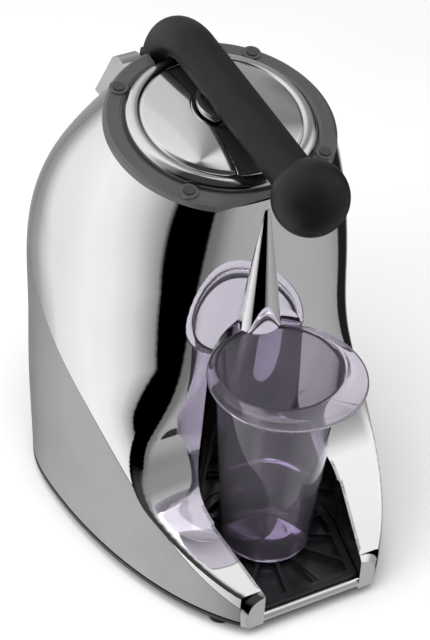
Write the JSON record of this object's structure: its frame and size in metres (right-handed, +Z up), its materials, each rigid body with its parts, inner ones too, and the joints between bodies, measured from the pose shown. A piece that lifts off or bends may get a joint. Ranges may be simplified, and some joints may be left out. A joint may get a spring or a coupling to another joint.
{
  "type": "citrus press juicer",
  "caption": "Electric citrus press with an egg-shaped chrome housing, a lever lid over a ribbed reamer, a front spout and a clear cup in an arched niche.",
  "frame": {"origin": "centre of the footprint, on the surface that the feet stand on", "axes": "+Z up, front with the cup towards -Y, lever hinge along X"},
  "size_m": [0.213, 0.3001, 0.344],
  "materials": {
    "mirror_chrome": "mirror polished",
    "polished_steel": "soft polish",
    "satin_silver": "satin silver",
    "black_plastic": "fine grain",
    "soft_touch_black": "soft touch",
    "gloss_black": "glossy",
    "smoky_plastic": "smoky translucent",
    "white_plastic": "natural nylon",
    "violet_clear": "clear violet tint",
    "clear_plastic": "clear",
    "black_rubber": "matte",
    "brushed_steel": "brushed",
    "zinc_steel": "zinc plated",
    "bronze": "sintered"
  },
  "bodies": {
    "housing": {"chrome_shell": "mirror_chrome", "niche_liner": "mirror_chrome", "spout_beak": "mirror_chrome", "hinge_saddle": "mirror_chrome", "rear_cover": "satin_silver", "side_panel_right": "satin_silver", "side_panel_left": "satin_silver", "floor_pan": "black_plastic", "front_trim": "mirror_chrome", "spout_tube": "clear_plastic", "rubber_feet": "black_rubber", "splash_ring": "smoky_plastic", "ring_screws": "mirror_chrome", "juice_bowl": "smoky_plastic", "sieve": "brushed_steel", "motor_can": "zinc_steel", "gearbox_base": "white_plastic", "gearbox_lid": "white_plastic", "gearbox_wall": "white_plastic", "drive_bushes": "bronze", "gearbox_legs": "white_plastic", "start_switch": "black_plastic", "switch_bracket": "zinc_steel", "cord_gland": "black_rubber", "hinge_pin": "brushed_steel", "pan_screws": "zinc_steel"},
    "lever": {"lever_arm": "soft_touch_black", "ball_knob": "soft_touch_black", "lid_dome": "polished_steel", "lid_insert": "black_plastic", "hub_ring": "mirror_chrome", "hub_cap": "black_plastic", "press_cup": "smoky_plastic"},
    "drive": {"drive_gear": "white_plastic", "drive_shaft": "brushed_steel", "reamer_cone": "polished_steel"},
    "rotor": {"motor_shaft": "brushed_steel", "motor_pinion": "bronze"},
    "plunger": {"switch_plunger": "black_plastic"},
    "tray": {"drip_tray": "gloss_black", "drip_grid": "gloss_black"},
    "cup": {"juice_cup": "violet_clear"}
  },
  "joints": [
    {"name": "lever_lift", "type": "hinge", "parent": "housing", "child": "lever", "pos_m": [0, 0.089, 0.291], "axis": [-1, 0, 0], "range_deg": [0, 70]},
    {"name": "reamer_spin", "type": "hinge", "parent": "housing", "child": "drive", "pos_m": [0, 0.0076, 0.2955], "axis": [0, -0.1736, 0.9848], "continuous": true},
    {"name": "motor_spin", "type": "hinge", "parent": "housing", "child": "rotor", "pos_m": [0, 0.05192, 0.30331], "axis": [0, -0.1736, 0.9848], "continuous": true},
    {"name": "start_press", "type": "slide", "parent": "housing", "child": "plunger", "axis": [0, 0.1736, -0.9848], "range_m": [0, 0.001]},
    {"name": "tray_lift", "type": "slide", "parent": "housing", "child": "tray", "axis": [0, 0, 1], "range_m": [0, 0.0025]},
    {"name": "cup_slide", "type": "slide", "parent": "tray", "child": "cup", "axis": [0, -1, 0], "range_m": [0, 0.11]}
  ],
  "couplings": [
    {"joint": "motor_spin", "follows": "reamer_spin", "ratio": -5}
  ]
}
